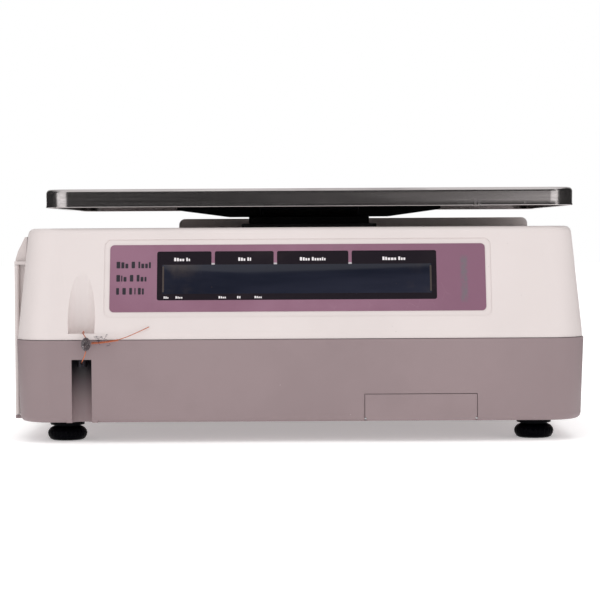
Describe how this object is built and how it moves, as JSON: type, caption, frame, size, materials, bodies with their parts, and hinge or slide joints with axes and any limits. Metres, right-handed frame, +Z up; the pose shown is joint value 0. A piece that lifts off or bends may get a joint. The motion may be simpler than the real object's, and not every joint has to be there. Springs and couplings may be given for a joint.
{
  "type": "label printing scale",
  "caption": "Bench label printing scale: steel pan on a column, drafted two-part casing, customer display, keypad console, levelling feet and a label printer behind a side door.",
  "frame": {"origin": "middle of the casing at the table's surface under the feet", "axes": "+X to the right as the customer sees it, +Y towards the operator, +Z up"},
  "size_m": [0.4056, 0.4041, 0.1776],
  "materials": {
    "white_plastic": "fine spark texture",
    "grey_plastic": "fine spark texture",
    "black_plastic": "satin",
    "foot_plastic": "satin",
    "black_casting": "black powder coat",
    "pan_steel": "brushed",
    "display_film": "satin film",
    "smoked_window": "gloss",
    "circuit_board": "solder mask",
    "plated_steel": "zinc plated",
    "bright_steel": "ground",
    "cell_aluminium": "anodised",
    "brass_insert": "turned",
    "level_vial": "clear green",
    "motor_black": "satin",
    "gear_plastic": "natural acetal",
    "pinion_brass": "turned",
    "platen_rubber": "ground rubber",
    "pad_rubber": "matte",
    "red_plastic": "satin",
    "label_paper": "coated paper",
    "lead": "dull lead",
    "copper_wire": "bare copper",
    "cable_grey": "soft sheath"
  },
  "bodies": {
    "casing": {"lower_casing": "grey_plastic", "upper_casing": "white_plastic", "column_collar": "black_plastic", "customer_overlay": "display_film", "customer_window": "smoked_window", "customer_display": "circuit_board", "operator_overlay": "display_film", "operator_window": "smoked_window", "operator_display": "circuit_board", "keypad_film": "display_film", "base_plate": "plated_steel", "cell_foot": "plated_steel", "load_cell": "cell_aluminium", "overload_stops": "plated_steel", "main_board": "circuit_board", "power_supply": "plated_steel", "power_inlet": "black_plastic", "power_switch": "black_plastic", "serial_port": "plated_steel", "network_port": "plated_steel", "spirit_level": "level_vial", "printer_frame": "plated_steel", "outer_bracket": "plated_steel", "head_bridge": "plated_steel", "head_shaft": "bright_steel", "head_springs": "bright_steel", "motor": "motor_black", "roll_spindle": "gear_plastic", "guide_rod": "bright_steel", "peel_bar": "plated_steel", "label_web": "label_paper", "label_sensor": "black_plastic", "exit_bezel": "black_plastic", "hinge_pins": "bright_steel", "catch_magnet": "motor_black", "case_screws": "bright_steel", "foot_nuts": "brass_insert", "lead_seal": "lead", "seal_wire": "copper_wire", "ribbon_cables": "cable_grey"},
    "platform": {"cell_cap": "plated_steel", "column": "black_casting", "pan_carrier": "black_casting", "pan_pads": "pad_rubber"},
    "pan": {"weighing_pan": "pan_steel"},
    "door": {"side_door": "white_plastic", "door_strike": "plated_steel"},
    "cover": {"connector_cover": "grey_plastic"},
    "rocker": {"power_rocker": "red_plastic"},
    "foot_a": {"foot_front_left": "foot_plastic"},
    "foot_b": {"foot_front_right": "foot_plastic"},
    "foot_c": {"foot_back_left": "foot_plastic"},
    "foot_d": {"foot_back_right": "foot_plastic"},
    "head": {"print_head": "motor_black"},
    "lever": {"head_lever": "red_plastic"},
    "platen": {"platen_roller": "platen_rubber"},
    "pinion": {"motor_pinion": "pinion_brass"},
    "idler": {"idler_gear": "gear_plastic"},
    "take_up": {"take_up_spool": "gear_plastic"},
    "roll": {"label_roll": "label_paper"}
  },
  "joints": [
    {"name": "platform_travel", "type": "slide", "parent": "casing", "child": "platform", "axis": [0, 0, 1], "range_m": [-0.0005, 0], "stiffness_N_per_m": 300000},
    {"name": "pan_lift", "type": "slide", "parent": "platform", "child": "pan", "axis": [0, 0, 1], "range_m": [0, 0.06]},
    {"name": "door_swing", "type": "hinge", "parent": "casing", "child": "door", "pos_m": [-0.2023, -0.149, 0.07], "axis": [0, 0, 1], "range_deg": [0, 110]},
    {"name": "cover_swing", "type": "hinge", "parent": "casing", "child": "cover", "pos_m": [0.084, -0.1886, 0.0166], "axis": [1, 0, 0], "range_deg": [0, 90]},
    {"name": "rocker_tilt", "type": "hinge", "parent": "casing", "child": "rocker", "pos_m": [0.1976, 0.09, 0.045], "axis": [0, 0, 1], "range_deg": [0, 15]},
    {"name": "foot_a_turn", "type": "hinge", "parent": "casing", "child": "foot_a", "pos_m": [-0.166, -0.1575, 0.01], "axis": [0, 0, 1], "continuous": true},
    {"name": "foot_b_turn", "type": "hinge", "parent": "casing", "child": "foot_b", "pos_m": [0.166, -0.1575, 0.01], "axis": [0, 0, 1], "continuous": true},
    {"name": "foot_c_turn", "type": "hinge", "parent": "casing", "child": "foot_c", "pos_m": [-0.166, 0.1575, 0.01], "axis": [0, 0, 1], "continuous": true},
    {"name": "foot_d_turn", "type": "hinge", "parent": "casing", "child": "foot_d", "pos_m": [0.166, 0.1575, 0.01], "axis": [0, 0, 1], "continuous": true},
    {"name": "lever_turn", "type": "hinge", "parent": "casing", "child": "lever", "pos_m": [-0.15, 0.142, 0.121], "axis": [1, 0, 0], "range_deg": [0, 70]},
    {"name": "head_lift", "type": "hinge", "parent": "casing", "child": "head", "pos_m": [-0.15, 0.135, 0.108], "axis": [1, 0, 0], "range_deg": [0, 12], "deforming": ["head_springs"]},
    {"name": "platen_spin", "type": "hinge", "parent": "casing", "child": "platen", "pos_m": [-0.15, 0.165, 0.082], "axis": [1, 0, 0], "continuous": true},
    {"name": "pinion_spin", "type": "hinge", "parent": "casing", "child": "pinion", "pos_m": [-0.12, 0.12491, 0.06291], "axis": [1, 0, 0], "continuous": true},
    {"name": "idler_spin", "type": "hinge", "parent": "casing", "child": "idler", "pos_m": [-0.105, 0.14591, 0.06291], "axis": [1, 0, 0], "continuous": true},
    {"name": "take_up_spin", "type": "hinge", "parent": "casing", "child": "take_up", "pos_m": [-0.15, 0.08891, 0.06291], "axis": [1, 0, 0], "continuous": true},
    {"name": "roll_spin", "type": "hinge", "parent": "casing", "child": "roll", "pos_m": [-0.15, -0.03, 0.084], "axis": [1, 0, 0], "continuous": true}
  ],
  "couplings": [
    {"joint": "head_lift", "follows": "lever_turn", "ratio": 0.17143},
    {"joint": "pinion_spin", "follows": "take_up_spin", "ratio": -5},
    {"joint": "idler_spin", "follows": "take_up_spin", "ratio": 2},
    {"joint": "platen_spin", "follows": "take_up_spin", "ratio": -2.5}
  ]
}
